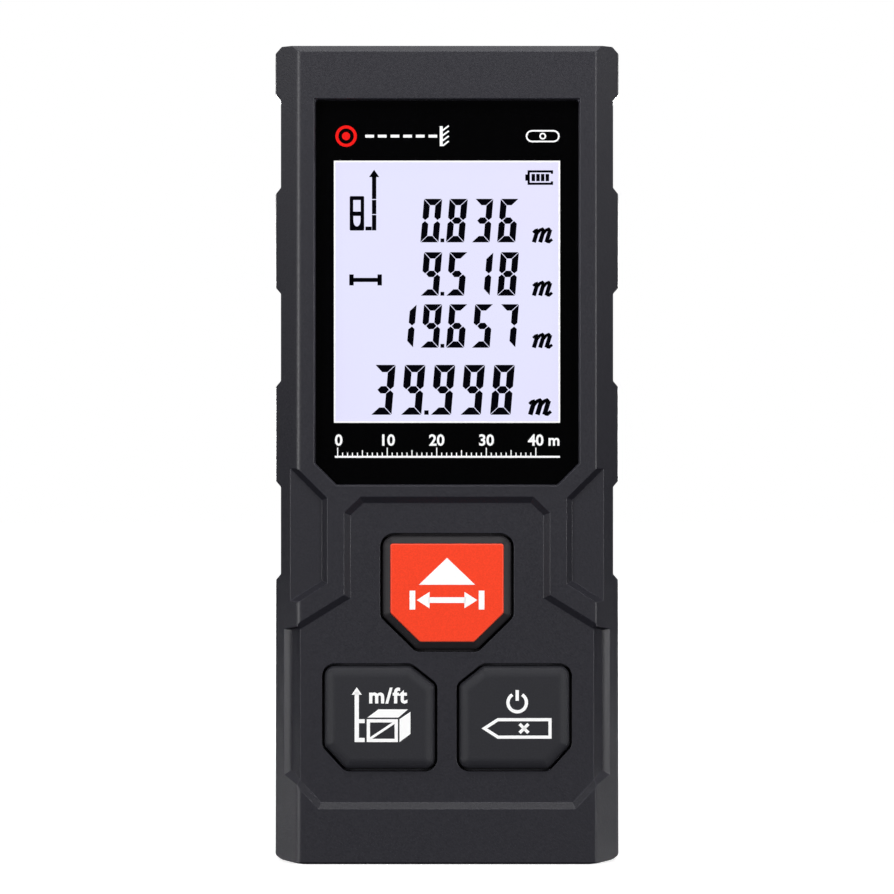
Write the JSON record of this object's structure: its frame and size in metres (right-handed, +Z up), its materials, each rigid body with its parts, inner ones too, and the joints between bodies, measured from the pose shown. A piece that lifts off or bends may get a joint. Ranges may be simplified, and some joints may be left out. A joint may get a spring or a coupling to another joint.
{
  "type": "laser distance meter",
  "caption": "Handheld laser distance meter with a tall backlit display, a large orange measuring key over two smaller keys, a hinged battery door and optics in its top end.",
  "frame": {"origin": "centre of the bottom end, which is also the meter's rear measuring edge", "axes": "+Z up along the length to the optics end, -Y out of the display face, +Y out of the battery door, +X to the right when looking at the face"},
  "size_m": [0.0486, 0.026, 0.115],
  "materials": {
    "shell_plastic": "fine spark-textured charcoal ABS",
    "key_rubber": "satin moulded silicone",
    "key_frame": "satin black",
    "key_orange": "fine matte orange",
    "window": "polished clear acrylic",
    "mask_print": "black screen print",
    "tape": "black adhesive tape",
    "polarizer": "satin polarizing film",
    "lcd_glass": "polished glass",
    "backlight": "frosted light guide",
    "led": "white package",
    "elastomer": "layered elastomer",
    "circuit_board": "green solder mask",
    "contact_gold": "flash gold",
    "chip": "moulded epoxy",
    "component": "fired ceramic",
    "buzzer_can": "moulded black",
    "silicone": "translucent grey silicone",
    "carbon": "conductive carbon",
    "optics_plastic": "matte black, light absorbing",
    "coated_glass": "anti-reflection coated",
    "foam": "open-cell foam",
    "barrel_brass": "turned",
    "can_steel": "plated can",
    "flex_film": "amber polyimide film",
    "cell_can": "plated steel",
    "cell_sleeve": "printed film",
    "contact_nickel": "nickel-plated",
    "screw_steel": "black oxide",
    "display_black": "darkened liquid crystal segments",
    "legend_white": "white screen print",
    "legend_red": "red screen print",
    "label_film": "satin polyester film"
  },
  "bodies": {
    "housing": {"front_shell": "shell_plastic", "rear_shell": "shell_plastic", "back_label": "label_film", "display_window": "window", "window_mask": "mask_print", "window_tape": "tape", "lcd_polarizer": "polarizer", "lcd_glass": "lcd_glass", "lcd_backlight": "backlight", "backlight_led": "led", "lcd_connector": "elastomer", "main_board": "circuit_board", "key_contacts": "contact_gold", "microcontroller": "chip", "board_components": "component", "buzzer": "buzzer_can", "keypad_mat": "silicone", "optics_bezel": "optics_plastic", "laser_window": "coated_glass", "optics_gasket": "foam", "optics_block": "optics_plastic", "receiver_lens": "coated_glass", "lens_retainer": "optics_plastic", "receiver_board": "circuit_board", "photodiode": "can_steel", "laser_barrel": "barrel_brass", "collimator_lens": "coated_glass", "laser_diode": "can_steel", "laser_flex": "flex_film", "contact_bridge": "contact_nickel", "housing_screws": "screw_steel", "board_screws": "screw_steel", "optics_screws": "screw_steel", "read_key_dome": "silicone", "unit_key_dome": "silicone", "clear_key_dome": "silicone", "battery_can_left": "cell_can", "battery_sleeve_left": "cell_sleeve", "contact_plate_left": "contact_nickel", "contact_spring_left": "contact_nickel", "battery_can_right": "cell_can", "battery_sleeve_right": "cell_sleeve", "contact_plate_right": "contact_nickel", "contact_spring_right": "contact_nickel"},
    "read_key": {"read_key_frame": "key_frame", "read_key_face": "key_orange", "read_key_pill": "carbon"},
    "unit_key": {"unit_key_cap": "key_rubber", "unit_key_pill": "carbon"},
    "clear_key": {"clear_key_cap": "key_rubber", "clear_key_pill": "carbon"},
    "door": {"battery_door": "shell_plastic", "battery_foam": "foam"}
  },
  "joints": [
    {"name": "read_key_press", "type": "slide", "parent": "housing", "child": "read_key", "axis": [0, 1, 0], "range_m": [0, 0.0008], "stiffness_N_per_m": 2000, "deforming": ["read_key_dome"]},
    {"name": "unit_key_press", "type": "slide", "parent": "housing", "child": "unit_key", "axis": [0, 1, 0], "range_m": [0, 0.0008], "stiffness_N_per_m": 2000, "deforming": ["unit_key_dome"]},
    {"name": "clear_key_press", "type": "slide", "parent": "housing", "child": "clear_key", "axis": [0, 1, 0], "range_m": [0, 0.0008], "stiffness_N_per_m": 2000, "deforming": ["clear_key_dome"]},
    {"name": "door_hinge", "type": "hinge", "parent": "housing", "child": "door", "pos_m": [0, 0.013, 0.004], "axis": [-1, 0, 0], "range_deg": [0, 80]}
  ]
}
